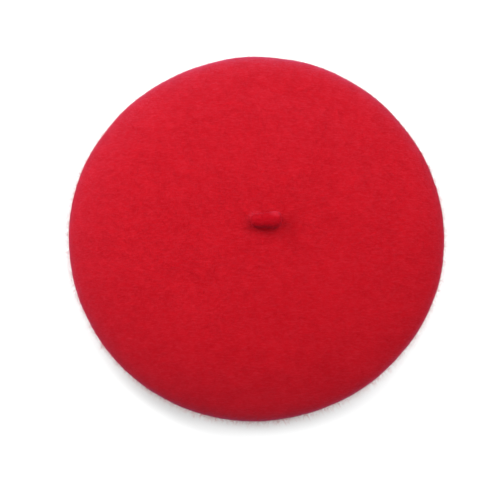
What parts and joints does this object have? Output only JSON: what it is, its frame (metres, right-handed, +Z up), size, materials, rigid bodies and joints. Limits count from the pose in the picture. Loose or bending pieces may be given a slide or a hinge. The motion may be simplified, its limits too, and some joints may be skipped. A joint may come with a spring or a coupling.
{
  "type": "beret",
  "caption": "Round flat wool felt beret with a stubby felt stalk, a rolled rim, a leather sweatband on a bound head opening with a drawcord, and a satin lining.",
  "frame": {"origin": "centre of the round head opening, on the plane the opening's bound edge rests on", "axes": "+Z up through the crown; -Y is the front and +Y the back, where the bow and the drawcord's ends are; +X is the side the felt stalk lies towards"},
  "size_m": [0.2758, 0.2741, 0.0575],
  "materials": {
    "wool_felt": "matte",
    "satin": "satin",
    "tape": "matte",
    "thread": "matte",
    "leather": "satin",
    "cord": "matte",
    "ribbon": "satin",
    "label": "satin"
  },
  "bodies": {
    "crown": {"felt_crown": "wool_felt", "stem_anchor_stitch": "thread", "edge_binding": "tape", "binding_stitching": "thread", "sweatband": "leather", "sweatband_stitching": "thread", "back_bow": "ribbon", "lining_top": "satin", "lining_under": "satin", "lining_seam": "thread", "size_label_stitch": "thread", "care_label_stitch": "thread"},
    "stalk_root": {"stem_root": "wool_felt"},
    "stalk": {"stem": "wool_felt"},
    "cord_left": {"drawcord_left": "cord"},
    "cord_right": {"drawcord_right": "cord"},
    "size_tab": {"size_label": "label"},
    "care_tab": {"care_label": "label"}
  },
  "joints": [
    {"name": "stalk_lean", "type": "hinge", "parent": "crown", "child": "stalk_root", "pos_m": [0, 0.002, 0.0491], "axis": [0.0698, -0.9976, 0], "range_deg": [0, 150]},
    {"name": "stalk_sway", "type": "hinge", "parent": "stalk_root", "child": "stalk", "pos_m": [0, 0.002, 0.0491], "axis": [-0.1216, -0.0085, 0.9925], "range_deg": [-55, 55]},
    {"name": "cord_left_pull", "type": "hinge", "parent": "crown", "child": "cord_left", "pos_m": [0, 0, 0.00235], "axis": [0, 0, -1], "range_deg": [0, 7]},
    {"name": "cord_right_pull", "type": "hinge", "parent": "crown", "child": "cord_right", "pos_m": [0, 0, 0.00235], "axis": [0, 0, 1], "range_deg": [0, 7]},
    {"name": "size_label_flap", "type": "hinge", "parent": "crown", "child": "size_tab", "pos_m": [0.05781, 0.06421, 0.0049], "axis": [0.7431, -0.6691, 0], "range_deg": [0, 135]},
    {"name": "care_label_flap", "type": "hinge", "parent": "crown", "child": "care_tab", "pos_m": [-0.07629, 0.04056, 0.0049], "axis": [0.4695, 0.8829, 0], "range_deg": [0, 135]}
  ],
  "couplings": [
    {"joint": "cord_right_pull", "follows": "cord_left_pull", "ratio": 1}
  ]
}
